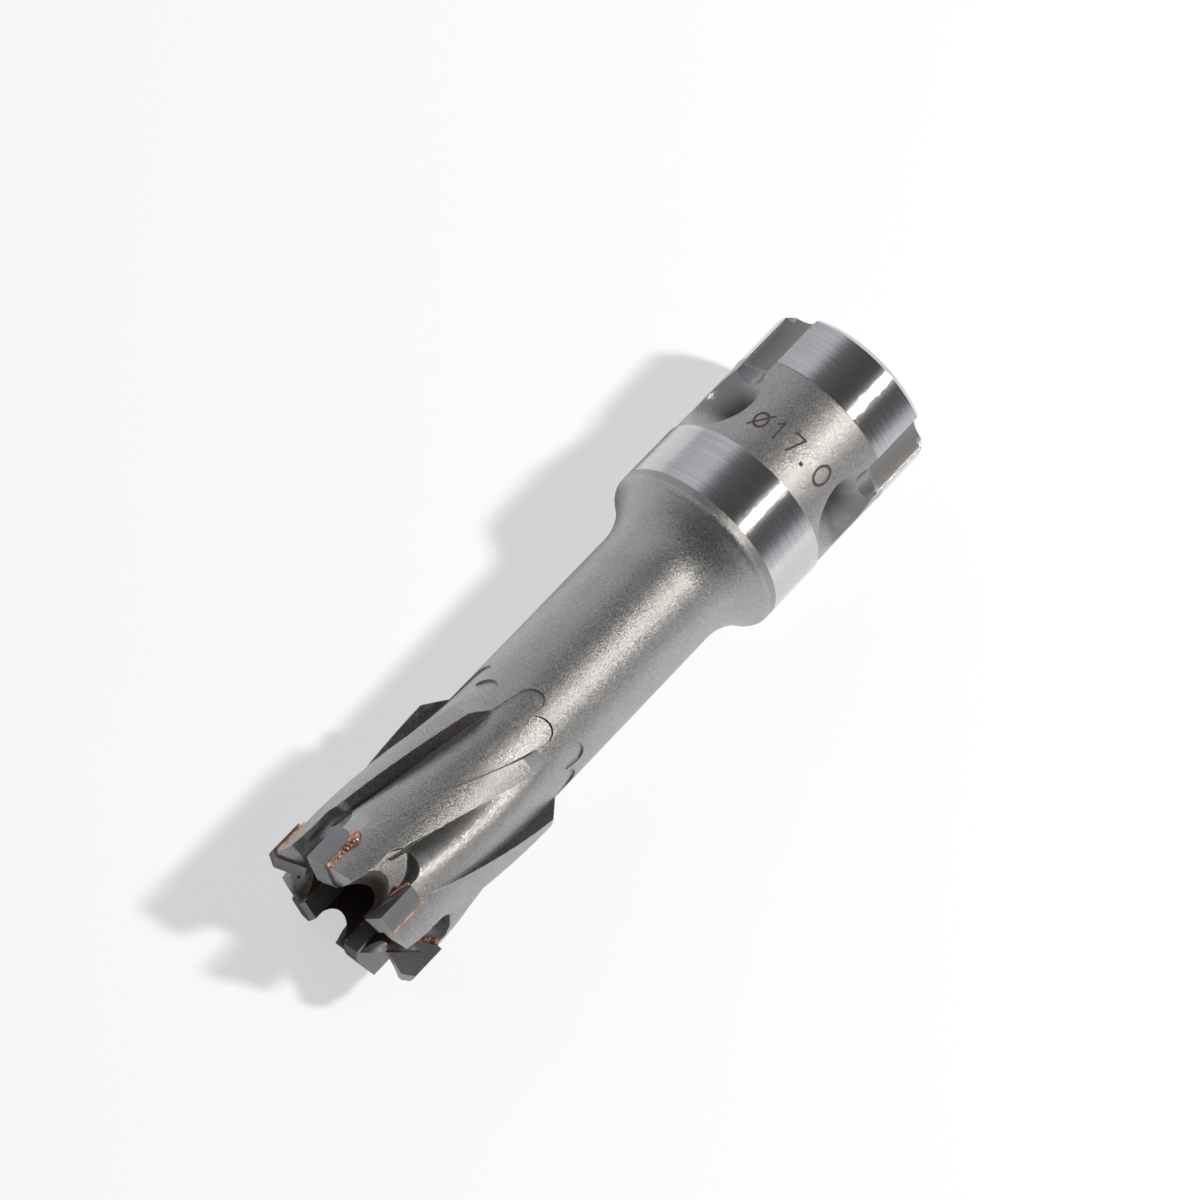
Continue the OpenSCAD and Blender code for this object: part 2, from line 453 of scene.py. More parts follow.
@dataclass(frozen=True)
class SizeMark:
    """The etched diameter mark, which runs round the band: strokes are in millimetres along the text and up it."""

    base: float = 58.4
    turn_deg: float = 4.81
    stroke: float = 0.15
    radius: float = 8.84
    strokes: tuple[tuple[float, float, float, float], ...] = (
        (-1.91, 0.05, -1.91, 2.05),
        (-1.91, 2.05, -2.34, 1.55),
        (-0.66, 2.05, 0.49, 2.05),
        (0.49, 2.05, -0.24, 0.05),
        (-4.61, -0.15, -3.06, 1.95),
        (1.50, 0.06, 1.70, 0.06),
        (1.50, 0.22, 1.70, 0.22),
    )
    rings: tuple[tuple[float, float, float, float], ...] = (
        (-3.84, 0.88, 0.62, 0.80),
        (3.79, 1.05, 0.72, 1.05),
    )

    def mask(self, paint: Paint, place: ToolPlace) -> Value:
        """Draws the strokes.

        Args:
            paint: The material's nodes.
            place: Where the point lies on the tool.

        Returns:
            1 on a stroke and 0 off it.
        """
        across = (place.turn - math.radians(self.turn_deg)) * self.radius
        up = place.along - self.base
        found: Optional[Value] = None
        for x0, y0, x1, y1 in self.strokes:
            near = self._to_stroke(paint, across, up, (x0, y0), (x1, y1))
            found = near if found is None else paint.math("MINIMUM", found, near)
        for x, y, wide, high in self.rings:
            reach = paint.math("SQRT", ((across - x) / wide) ** 2.0 + ((up - y) / high) ** 2.0)
            found = paint.math("MINIMUM", found, abs(reach - 1.0) * min(wide, high))
        outside = place.radius.ease(self.radius - 0.2, self.radius - 0.1)
        return found.ease(self.stroke, self.stroke * 0.55) * outside

    @staticmethod
    def _to_stroke(
        paint: Paint, across: Value, up: Value, start: tuple[float, float], end: tuple[float, float]
    ) -> Value:
        """Distance to a straight stroke.

        Args:
            paint: The material's nodes.
            across: Place along the text.
            up: Place up the text.
            start: One end.
            end: The other end.

        Returns:
            The distance.
        """
        dx, dy = end[0] - start[0], end[1] - start[1]
        long = dx * dx + dy * dy
        share = paint.math("ADD", (across - start[0]) * (dx / long), (up - start[1]) * (dy / long), clamp=True)
        return paint.math(
            "SQRT",
            (across - start[0] - share * dx) ** 2.0 + (up - start[1] - share * dy) ** 2.0,
        )


@dataclass
class SteelAreas:
    """How far a point belongs to each area of the steel."""

    ground: Value
    dimple: Value
    patch: Value
    # Locking grooves' floors, where painted shade goes and the steel is rougher.
    groove: Value
    # Flute side walls, where painted shade goes.
    wall: Value
    mark: Value
    # Heat oxide near the tips, with painted shade inside the bore's mouth.
    stain: Value
    smooth: Value
    cloud: Value


@dataclass
class SteelGrain:
    """The fine patterns of the steel's surface."""

    cells: bpy.types.NodeSocket
    speck: Value
    fine: Value
    lines: Value


@dataclass(frozen=True)
class SteelFinish:
    """Bead-blasted tool steel with a ground collar and rear ring, machined dimples and an etched size mark."""

    zones: ShankZones = ShankZones()
    mark: SizeMark = SizeMark()
    blasted: Colour = (0.57, 0.567, 0.56)
    blasted_dark: Colour = (0.29, 0.288, 0.283)
    ground: Colour = (0.62, 0.62, 0.63)
    ground_dark: Colour = (0.42, 0.42, 0.43)
    # Painted shade colours of the flute side walls; the darker one also fills the dimples' middles.
    wall: Colour = (0.29, 0.278, 0.265)
    shade_dark: Colour = (0.10, 0.096, 0.092)
    # Painted highlight along the land edges.
    edge_highlight: Colour = (0.80, 0.79, 0.77)
    # Painted shade of the lip beside the collar, which dims its highlight.
    lip: Colour = (0.37, 0.367, 0.36)
    # Painted shade of the locking grooves' floors.
    groove: Colour = (0.30, 0.295, 0.285)
    # Heat oxide near the tips, also laid as painted shade inside the bore's mouth.
    oxide_and_shade: Colour = (0.06, 0.043, 0.034)
    etched: Colour = (0.05, 0.03, 0.02)
    patch: Colour = (0.50, 0.52, 0.49)
    grain: float = 16000.0
    grain_turn: float = 0.24
    edge_round: float = 0.0001
    blasted_rough: float = 0.45
    ground_rough: float = 0.1
    dimple_rough: float = 0.24
    patch_rough: float = 0.4
    heat_zone: tuple[float, float] = (7.2, 3.4)
    # Where painted shade fills the bore's mouth: radii, then distances from the tips.
    bore_shade_zone: tuple[float, float] = (6.9, 5.6)
    mouth_zone: tuple[float, float] = (9.0, 5.0)
    # Reach from a dimple's middle over which its painted shade fades.
    bowl_shade_zone: tuple[float, float] = (0.5, 3.0)

    def material(self) -> bpy.types.Material:
        """Builds the steel's material.

        Returns:
            The material.
        """
        paint = Paint("blasted_and_ground_steel")
        place = ToolPlace(paint)
        areas = self._areas(paint, place)
        grain = self._grain(paint, place)
        rounded = paint.node("ShaderNodeBevel", {"samples": 4}, {"Radius": self.edge_round}).outputs["Normal"]
        metal = (1.0 - areas.mark * 0.7) * (1.0 - areas.stain * 0.5)
        return paint.finish(
            Base_Color=self._colour(paint, place, areas, grain, rounded),
            Roughness=self._roughness(areas, grain),
            Normal=self._normal(paint, place, areas, grain, rounded),
            Metallic=metal,
        )

    def _areas(self, paint: Paint, place: ToolPlace) -> SteelAreas:
        """Finds the areas that are finished or shaded differently.

        Args:
            paint: The material's nodes.
            place: Where the point lies on the tool.

        Returns:
            The areas.
        """
        ground = self._ground(paint, place)
        dimple = self._dimple(paint, place)
        patch = self._patch(paint, place)
        cloud = paint.noise(place.point, 260.0, 3.0, 0.55)
        heat = place.along.ease(*self.heat_zone) * (cloud * 0.9 + 0.3)
        # Painted shade inside the bore's mouth.
        inner = place.radius.ease(*self.bore_shade_zone) * place.along.ease(*self.mouth_zone)
        return SteelAreas(
            ground=ground,
            dimple=dimple,
            patch=patch,
            groove=self._groove_shade(place),
            wall=self._wall_shade(paint, place),
            mark=self.mark.mask(paint, place),
            stain=paint.math("MAXIMUM", heat.ease(0.62, 1.2) * 0.5, inner, clamp=True),
            smooth=paint.math("MAXIMUM", paint.math("MAXIMUM", ground, patch), dimple * 0.8),
            cloud=cloud,
        )

    def _grain(self, paint: Paint, place: ToolPlace) -> SteelGrain:
        """Makes the fine patterns of the surface.

        Args:
            paint: The material's nodes.
            place: Where the point lies on the tool.

        Returns:
            The patterns.
        """
        voronoi = {"Vector": place.point, "Scale": self.grain}
        cells = paint.node("ShaderNodeTexVoronoi", {"feature": "F1"}, voronoi).outputs["Color"]
        return SteelGrain(
            cells=cells,
            speck=paint.value("ShaderNodeSeparateXYZ", None, {"Vector": cells}, "X"),
            fine=paint.noise(place.point, self.grain * 0.55, 2.0, 0.6),
            lines=paint.noise(place.rolled_out(26.0, 0.9), 1.0, 3.0, 0.62),
        )

    def _colour(
        self,
        paint: Paint,
        place: ToolPlace,
        areas: SteelAreas,
        grain: SteelGrain,
        rounded: bpy.types.NodeSocket,
    ) -> bpy.types.NodeSocket:
        """Colours the areas.

        Args:
            paint: The material's nodes.
            place: Where the point lies on the tool.
            areas: The areas.
            grain: The fine patterns.
            rounded: The normal as rounded at edges.

        Returns:
            The colour's socket.
        """
        tone = (grain.speck - 0.5) * 0.9 + (grain.fine - 0.5) * 0.5 + areas.cloud * 0.4 + 0.33
        tone = tone.math("MAXIMUM", 0.0, clamp=True)
        # Painted shade darkens the middle of each dimple.
        bowl_shade = self._reach(paint, place).ease(*self.bowl_shade_zone)
        ground = paint.blend(grain.lines.ease(0.35, 0.75), self.ground, self.ground_dark)
        layers = (
            # Painted shade on the flute side walls.
            (areas.wall * (1.0 - areas.smooth), paint.blend(tone, self.shade_dark, self.wall)),
            # Painted shade on the lip beside the collar.
            (self._lip_shade(place), self.lip),
            # Painted shade on the groove floors.
            (areas.groove, self.groove),
            # Painted shade in the middles of the dimples.
            (areas.dimple, paint.blend(bowl_shade, self.shade_dark, self.ground_dark)),
            # Painted highlight on the land edges.
            (self._edge_highlight(paint, place, rounded), self.edge_highlight),
            (areas.patch, self.patch),
            (areas.ground, ground),
            # Heat oxide near the tips, with painted shade inside the bore's mouth.
            (areas.stain * (1.0 - areas.ground), self.oxide_and_shade),
            (areas.mark * 0.92, self.etched),
        )
        colour = paint.blend(tone, self.blasted_dark, self.blasted)
        for share, above in layers:
            colour = paint.blend(share, colour, above)
        return colour

    def _roughness(self, areas: SteelAreas, grain: SteelGrain) -> Value:
        """Roughens the areas.

        Args:
            areas: The areas.
            grain: The fine patterns.

        Returns:
            The roughness.
        """
        rough = self.blasted_rough + (grain.speck - 0.5) * 0.2
        rough = rough * (1.0 - areas.ground) + (self.ground_rough + grain.lines * 0.1) * areas.ground
        rough = rough * (1.0 - areas.dimple) + areas.dimple * self.dimple_rough
        rough = rough * (1.0 - areas.patch) + areas.patch * self.patch_rough
        return rough + areas.mark * 0.25 + areas.stain * 0.1 + areas.groove * 0.25

    def _normal(
        self,
        paint: Paint,
        place: ToolPlace,
        areas: SteelAreas,
        grain: SteelGrain,
        rounded: bpy.types.NodeSocket,
    ) -> bpy.types.NodeSocket:
        """Gives the areas their relief.

        Args:
            paint: The material's nodes.
            place: Where the point lies on the tool.
            areas: The areas.
            grain: The fine patterns.
            rounded: The normal as rounded at edges.

        Returns:
            The normal's socket.
        """
        blasted = 1.0 - areas.smooth
        facets = self._facets(paint, rounded, grain.cells, blasted * self.grain_turn)
        rings = self._rings(paint, place) * areas.dimple
        normal = paint.bump(grain.lines * areas.ground * 0.4 + rings, 0.8, 0.00005, facets)
        return paint.bump(grain.fine * blasted, 0.08, 0.00002, normal)

    def _ground(self, paint: Paint, place: ToolPlace) -> Value:
        """Finds the ground collar, rear ring and rear end.

        Args:
            paint: The material's nodes.
            place: Where the point lies on the tool.

        Returns:
            1 where the steel is ground.
        """
        zones = self.zones
        outer = place.radius.ease(zones.ring_r - 0.06, zones.ring_r - 0.03)
        collar = place.along.between(zones.collar, zones.band, 0.02) * outer
        rear = place.along.ease(zones.ring - 0.02, zones.ring) * outer
        end = place.along.ease(zones.rear - 0.62, zones.rear - 0.58) * place.radius.ease(8.1, 8.2)
        return paint.math("MAXIMUM", paint.math("MAXIMUM", collar, rear), end)

    def _wall_shade(self, paint: Paint, place: ToolPlace) -> Value:
        """Finds the milled side walls of the flutes, where painted shade darkens the steel.

        Args:
            paint: The material's nodes.
            place: Where the point lies on the tool.

        Returns:
            1 on a wall that faces round the tool.
        """
        facing = paint.node("ShaderNodeNewGeometry").outputs["Normal"]
        out_down = paint.value(
            "ShaderNodeVectorMath", {"operation": "DOT_PRODUCT"}, {0: facing, 1: tuple(TOOL.down)}, "Value"
        )
        out_side = paint.value(
            "ShaderNodeVectorMath", {"operation": "DOT_PRODUCT"}, {0: facing, 1: (0.0, 1.0, 0.0)}, "Value"
        )
        around = abs(out_side * place.down - out_down * place.side) / place.radius
        return around.ease(0.62, 0.85) * place.along.ease(23.0, 21.0) * place.along.ease(6.8, 7.3)

    def _lip_shade(self, place: ToolPlace) -> Value:
        """Finds the narrow lip beside the collar, where painted shade goes."""
        return place.along.between(self.zones.lip, self.zones.collar, 0.05) * place.radius.ease(8.0, 8.4)

    def _groove_shade(self, place: ToolPlace) -> Value:
        """Finds the milled floors of the locking grooves behind the dimples, where painted shade goes."""
        return place.along.ease(self.zones.ring - 0.8, self.zones.ring) * place.radius.ease(8.75, 8.6) * 0.75

    @staticmethod
    def _edge_highlight(paint: Paint, place: ToolPlace, rounded: bpy.types.NodeSocket) -> Value:
        """Finds the edges of the lands, where a painted highlight goes.

        Args:
            paint: The material's nodes.
            place: Where the point lies on the tool.
            rounded: The normal as rounded at edges.

        Returns:
            How much of an edge the point is.
        """
        facing = paint.node("ShaderNodeNewGeometry").outputs["Normal"]
        same = paint.value("ShaderNodeVectorMath", {"operation": "DOT_PRODUCT"}, {0: facing, 1: rounded}, "Value")
        return same.ease(0.995, 0.93) * place.radius.ease(7.5, 7.75) * place.along.ease(24.0, 22.5) * 0.9

    @staticmethod
    def _facets(paint: Paint, base: Any, cells: Any, share: Value) -> bpy.types.NodeSocket:
        """Turns each blasted grain a little its own way.

        Args:
            paint: The material's nodes.
            base: The normal it starts from.
            cells: Each grain's own colour.
            share: How much the grains turn.

        Returns:
            The turned normal's socket.
        """
        centred = paint.node("ShaderNodeVectorMath", {"operation": "SUBTRACT"}, {0: cells, 1: (0.5, 0.5, 0.5)})
        scaled = paint.node(
            "ShaderNodeVectorMath", {"operation": "SCALE"}, {0: centred.outputs["Vector"], "Scale": share}
        )
        added = paint.node("ShaderNodeVectorMath", {"operation": "ADD"}, {0: base, 1: scaled.outputs["Vector"]})
        unit = paint.node("ShaderNodeVectorMath", {"operation": "NORMALIZE"}, {0: added.outputs["Vector"]})
        return unit.outputs["Vector"]

    @staticmethod
    def _patch(paint: Paint, place: ToolPlace) -> Value:
        """Finds the place where the grinding of one tip ran on into the land.

        Args:
            paint: The material's nodes.
            place: Where the point lies on the tool.

        Returns:
            1 in the ground place.
        """
        across = (place.turn - math.radians(-31.5)) * 7.9
        along = paint.math("MAXIMUM", place.along - 5.9, 0.0)
        reach = paint.math("SQRT", across * across + along * along)
        return reach.ease(0.95, 0.8) * place.radius.ease(7.7, 7.85) * place.along.ease(2.0, 3.0)

    def _fold(self, paint: Paint, place: ToolPlace) -> Value:
        """Angle from the nearest locking groove.

        Args:
            paint: The material's nodes.
            place: Where the point lies on the tool.

        Returns:
            The angle in radians.
        """
        step = 2.0 * math.pi / LOCKS
        turned = place.turn + (math.pi - math.radians(self.zones.lock_turn_deg) + step / 2.0 + 2.0 * step)
        return paint.math("MODULO", turned, step) - step / 2.0

    def _reach(self, paint: Paint, place: ToolPlace) -> Value:
        """Distance from the axis of the nearest dimple.

        Args:
            paint: The material's nodes.
            place: Where the point lies on the tool.

        Returns:
            The distance in millimetres.
        """
        across = place.radius * paint.math("SINE", self._fold(paint, place))
        return paint.math("SQRT", across * across + (place.along - self.zones.dimple_along) ** 2.0)

    def _dimple(self, paint: Paint, place: ToolPlace) -> Value:
        """Finds the machined dimples.

        Args:
            paint: The material's nodes.
            place: Where the point lies on the tool.

        Returns:
            1 in a dimple and 0 outside it.
        """
        sunk = place.radius.ease(self.zones.band_r - 0.03, self.zones.band_r - 0.07)
        near = self._reach(paint, place).ease(4.7, 4.6)
        return sunk * near * place.along.between(55.9, 65.2, 0.05)

    def _rings(self, paint: Paint, place: ToolPlace) -> Value:
        """Draws the turning marks of the dimples.

        Args:
            paint: The material's nodes.
            place: Where the point lies on the tool.

        Returns:
            The marks' relief.
        """
        reach = self._reach(paint, place)
        wave = paint.math("SINE", reach * 62.0)
        return wave * 0.5 + 0.5


@dataclass(frozen=True)
class CarbideFinish:
    """Sintered carbide with ground faces."""

    dark: Colour = (0.21, 0.21, 0.215)
    pale: Colour = (0.34, 0.34, 0.345)

    def material(self) -> bpy.types.Material:
        """Builds the carbide's material.

        Returns:
            The material.
        """
        paint = Paint("ground_carbide")
        place = ToolPlace(paint)
        grain = paint.noise(place.point, 7000.0, 3.0, 0.6)
        lines = paint.noise(place.rolled_out(3.0, 90.0), 1.0, 2.0, 0.6)
        cloud = paint.noise(place.point, 700.0, 2.0, 0.5)
        colour = paint.blend(grain * 0.5 + cloud * 0.5, self.dark, self.pale)
        normal = paint.bump(grain * 0.5 + lines * 0.5, 0.3, 0.00002)
        return paint.finish(
            Base_Color=colour, Roughness=0.36 + grain * 0.14, Normal=normal, Metallic=0.85
        )


@dataclass(frozen=True)
class BrazeFinish:
    """Copper-coloured brazing alloy, lumpy and stained."""

    bright: Colour = (0.78, 0.46, 0.31)
    dull: Colour = (0.42, 0.24, 0.16)

    def material(self) -> bpy.types.Material:
        """Builds the braze's material.

        Returns:
            The material.
        """
        paint = Paint("copper_braze")
        place = ToolPlace(paint)
        lumps = paint.noise(place.point, 3200.0, 3.0, 0.6)
        stain = paint.noise(place.point, 900.0, 2.0, 0.5)
        colour = paint.blend(stain.ease(0.38, 0.62), self.dull, self.bright)
        normal = paint.bump(lumps, 0.6, 0.00008)
        return paint.finish(Base_Color=colour, Roughness=0.26 + stain * 0.25, Normal=normal, Metallic=0.95)


def piece_from(node: str, name: str, material: bpy.types.Material, sharp_deg: float) -> bpy.types.Object:
    """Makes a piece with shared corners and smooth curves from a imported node's mesh, and stands it in for the node.

    Args:
        node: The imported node.
        name: The piece's name.
        material: Its finish.
        sharp_deg: Angle from which an edge stays sharp.

    Returns:
        The piece.
    """
    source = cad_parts[node]
    mesh = source.data.copy()
    mesh.name = name
    shape = bmesh.new()
    shape.from_mesh(mesh)
    shape.transform(source.matrix_world)
    bmesh.ops.remove_doubles(shape, verts=shape.verts, dist=2e-7)
    limit = math.radians(sharp_deg)
    for face in shape.faces:
        face.smooth = True
    for edge in shape.edges:
        edge.smooth = len(edge.link_faces) == 2 and edge.calc_face_angle(0.0) < limit
    shape.to_mesh(mesh)
    shape.free()
    if mesh.has_custom_normals:
        bpy.context.view_layer.update()
        mesh.attributes.remove(mesh.attributes["custom_normal"])
    mesh.materials.clear()
    mesh.materials.append(material)
    piece = bpy.data.objects.new(name, mesh)
    bpy.context.scene.collection.objects.link(piece)
    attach(piece, "root")
    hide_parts(node)
    return piece


@dataclass
class CutterBody:
    """The one-piece steel body: fluted head, neck and grooved shank."""

    finish: SteelFinish = SteelFinish()
    sharp_deg: float = 24.0

    def build(self) -> bpy.types.Object:
        """Makes and dresses the body.

        Returns:
            The piece.
        """
        piece = piece_from("cutter_body", "steel_body", self.finish.material(), self.sharp_deg)
        return piece


@dataclass
class CarbideTips:
    """The six ground tips."""

    finish: CarbideFinish = CarbideFinish()
    sharp_deg: float = 20.0

    def build(self) -> list[bpy.types.Object]:
        """Makes and dresses the tips.

        Returns:
            The pieces.
        """
        material = self.finish.material()
        made = []
        for i in range(1, TEETH + 1):
            piece = piece_from(f"carbide_tip_{i}", f"ground_tip_{i}", material, self.sharp_deg)
            made.append(piece)
        return made


@dataclass(frozen=True)
class TipSeat:
    """Sizes of a tip's seat, in millimetres."""

    first_deg: float = -37.689354
    length: float = 4.15
    thick: float = 1.8
    gap: float = 0.12
    land_r: float = 7.9
    pocket_turn: float = 0.4
    pocket_path: tuple[tuple[float, float], ...] = (
        (5.9, 2.5),
        (6.3, 3.0),
        (6.6, 3.4),
        (6.9, 3.8),
        (7.2, 4.1),
        (7.6, 4.3),
    )

    def angle(self, tooth: int) -> float:
        """Angle of a tooth's cutting face from straight down."""
        return self.first_deg + 360.0 / TEETH * tooth

    def seam(self, tooth: int, start: float, turned: float) -> list[Vector]:
        """Points along the seam behind a tip and round its rear end.

        Args:
            tooth: Which tooth, from 0.
            start: Where the seam starts, from the tips.
            turned: Share of the rear end that the seam follows.

        Returns:
            The points, in metres.
        """
        back = math.degrees(math.asin((self.thick + self.gap) / self.land_r))
        rear = self.length + self.gap
        side = [(back, start + (rear - 0.3 - start) * k / 8) for k in range(9)]
        end = [(back * (1.0 - 0.86 * turned * k / 5) - 1.2, rear) for k in range(6)]
        return [TOOL.place(self.land_r, self.angle(tooth) + turn, along) for turn, along in side + end]

    def inner_seam(self, tooth: int) -> list[Vector]:
        """Points along the seam in the chip pocket, below and behind a tip's cutting face.

        Args:
            tooth: Which tooth, from 0.

        Returns:
            The points, in metres.
        """
        turn = self.angle(tooth) - self.pocket_turn
        return [TOOL.place(radius, turn, along) for radius, along in self.pocket_path]


class Flow(Enum):
    """How freely the braze ran out at a tooth.

    The values are the bead's start, its share of the rear end, its size, lumps and swell, and its share in the pocket.
    """

    THIN = (1.2, 1.0, 0.07, 0.35, 0.5, 2.4)
    FULL = (0.7, 0.2, 0.12, 0.6, 3.0, 0.3)
    COMMON = (1.0, 0.7, 0.10, 0.4, 0.9, 1.6)


FLOWS = (Flow.COMMON, Flow.COMMON, Flow.COMMON, Flow.FULL, Flow.THIN, Flow.COMMON)


class BeadTree:
    """Geometry nodes that set overlapping drops along a seam."""

    drop_parts: int = 3
    thin_start: float = 0.8

    def __init__(self, name: str) -> None:
        """Makes the node group with its named inputs.

        Args:
            name: The group's name.
        """
        self.tree = bpy.data.node_groups.new(name, "GeometryNodeTree")
        face = self.tree.interface
        face.new_socket("Geometry", in_out="INPUT", socket_type="NodeSocketGeometry")
        for title, kind in (
            ("Spacing", "NodeSocketFloat"),
            ("Size", "NodeSocketFloat"),
            ("Lumps", "NodeSocketFloat"),
            ("Swell", "NodeSocketFloat"),
            ("Seed", "NodeSocketInt"),
            ("Finish", "NodeSocketMaterial"),
        ):
            face.new_socket(title, in_out="INPUT", socket_type=kind)
        face.new_socket("Geometry", in_out="OUTPUT", socket_type="NodeSocketGeometry")
        self._fill()

    def _fill(self) -> None:
        """Builds the tree: seam, points, drops, joined mesh and finish."""
        nodes = Nodes(self.tree)
        given = nodes.node("NodeGroupInput").outputs
        curve = nodes.node("GeometryNodeMeshToCurve", None, {"Mesh": given["Geometry"]}).outputs[0]
        points = self._points(nodes, curve, given)
        seed = {"Seed": given["Seed"]}
        lumps = Value(nodes, given["Lumps"])
        size = nodes.value(
            "FunctionNodeRandomValue", {"data_type": "FLOAT"}, {2: 1.0 - lumps, 3: 1.0 + lumps, **seed}, 1
        )
        wander = nodes.node(
            "FunctionNodeRandomValue", {"data_type": "FLOAT_VECTOR"}, {0: (-1.0,) * 3, 1: (1.0,) * 3, **seed}
        )
        shift = nodes.node(
            "ShaderNodeVectorMath",
            {"operation": "SCALE"},
            {0: wander.outputs[0], "Scale": lumps * Value(nodes, given["Size"])},
        )
        moved = nodes.node("GeometryNodeSetPosition", None, {"Geometry": points, "Offset": shift.outputs[0]})
        drop = nodes.node("GeometryNodeMeshIcoSphere", None, {"Radius": given["Size"], "Subdivisions": self.drop_parts})
        scale = size * nodes.value("GeometryNodeInputRadius")
        drops = nodes.node(
            "GeometryNodeInstanceOnPoints",
            None,
            {"Points": moved.outputs[0], "Instance": drop.outputs["Mesh"], "Scale": scale},
        )
        real = nodes.node("GeometryNodeRealizeInstances", None, {0: drops.outputs[0]})
        smooth = nodes.node("GeometryNodeSetShadeSmooth", None, {0: real.outputs[0]})
        finish = nodes.node(
            "GeometryNodeSetMaterial", None, {"Geometry": smooth.outputs[0], "Material": given["Finish"]}
        )
        nodes.node("NodeGroupOutput", None, {0: finish.outputs[0]})

    def _points(self, nodes: Nodes, curve: bpy.types.NodeSocket, given: Any) -> bpy.types.NodeSocket:
        """Sets points along the seam, each with the bead's thickness there.

        Args:
            nodes: The tree's nodes.
            curve: The seam.
            given: The tree's named inputs.

        Returns:
            The points' socket.
        """
        along = nodes.value("GeometryNodeSplineParameter", output="Factor")
        share = nodes.value("GeometryNodeInputNamedAttribute", {"data_type": "FLOAT"}, {"Name": "share"})
        wide = (along * along * Value(nodes, given["Swell"]) + self.thin_start) * share
        thick = nodes.node("GeometryNodeSetCurveRadius", None, {0: curve, "Radius": wide})
        return nodes.node(
            "GeometryNodeCurveToPoints", {"mode": "LENGTH"}, {0: thick.outputs[0], "Length": given["Spacing"]}
        ).outputs[0]

    def grow(self, piece: bpy.types.Object, **inputs: Any) -> None:
        """Runs the tree on a piece and keeps the mesh that it makes.

        Args:
            piece: The piece, whose mesh is the seam.
            inputs: Values of the named inputs.
        """
        modifier = piece.modifiers.new("beads", "NODES")
        modifier.node_group = self.tree
        for item in self.tree.interface.items_tree:
            if item.in_out == "INPUT" and item.name in inputs:
                modifier[item.identifier] = inputs[item.name]
        seen = piece.evaluated_get(bpy.context.evaluated_depsgraph_get())
        mesh = bpy.data.meshes.new_from_object(seen)
        piece.modifiers.remove(modifier)
        piece.data = mesh
        mesh.name = piece.name


@dataclass
class BrazeJoints:
    """The braze round the six tips: a thin film in each seat and a lumpy bead along its seam."""

    finish: BrazeFinish = BrazeFinish()
    seat: TipSeat = TipSeat()
    sharp_deg: float = 35.0
    width_share: float = 0.3
    height_share: float = 0.45
    spacing: float = 0.07

    def build(self) -> list[bpy.types.Object]:
        """Makes and dresses the braze.

        Returns:
            The pieces.
        """
        material = self.finish.material()
        tree = BeadTree("braze_beads")
        made = []
        for tooth in range(TEETH):
            film = piece_from(f"braze_joint_{tooth + 1}", f"braze_film_{tooth + 1}", material, self.sharp_deg)
            self._draw_in(film.data, tooth)
            bead = self._bead(tree, tooth, material)
            for piece in (film, bead):
                made.append(piece)
        return made

    def _draw_in(self, mesh: bpy.types.Mesh, tooth: int) -> None:
        """Draws the film's flat border in to a narrow line on the land.

        Args:
            mesh: The film's mesh.
            tooth: Which tooth, from 0.
        """
        seat = self.seat
        turn = math.radians(seat.angle(tooth))
        for vertex in mesh.vertices:
            local = vertex.co / MM - TOOL.start
            down, side, along = local.dot(TOOL.down), local.y, local.dot(TOOL.axis)
            back = side * math.cos(turn) - down * math.sin(turn)
            radius = math.hypot(down, side)
            if radius > seat.land_r:
                radius = seat.land_r + (radius - seat.land_r) * self.height_share
            back = self._nearer(back, seat.thick + seat.gap)
            along = self._nearer(along, seat.length + seat.gap)
            angle = seat.angle(tooth) + math.degrees(math.asin(max(-1.0, min(1.0, back / radius))))
            vertex.co = TOOL.place(radius, angle, along)

    def _nearer(self, value: float, edge: float) -> float:
        """Draws what lies beyond an edge toward it."""
        return edge + (value - edge) * self.width_share if value > edge else value

    def _bead(self, tree: BeadTree, tooth: int, material: bpy.types.Material) -> bpy.types.Object:
        """Makes one tooth's bead.

        Args:
            tree: The nodes that set the drops.
            tooth: Which tooth, from 0.
            material: The braze.

        Returns:
            The piece.
        """
        start, turned, size, lumps, swell, pocket = FLOWS[tooth].value
        outer = self.seat.seam(tooth, start, turned)
        inner = self.seat.inner_seam(tooth)
        edges = [(k, k + 1) for k in range(len(outer) + len(inner) - 1) if k != len(outer) - 1]
        mesh = bpy.data.meshes.new("seam")
        mesh.from_pydata(outer + inner, edges, [])
        share = mesh.attributes.new("share", "FLOAT", "POINT")
        share.data.foreach_set("value", [1.0] * len(outer) + [pocket] * len(inner))
        piece = bpy.data.objects.new(f"braze_bead_{tooth + 1}", mesh)
        bpy.context.scene.collection.objects.link(piece)
        tree.grow(
            piece,
            Spacing=self.spacing * MM,
            Size=size * MM,
            Lumps=lumps,
            Swell=swell,
            Seed=tooth + 3,
            Finish=material,
        )
        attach(piece, "root")
        return piece


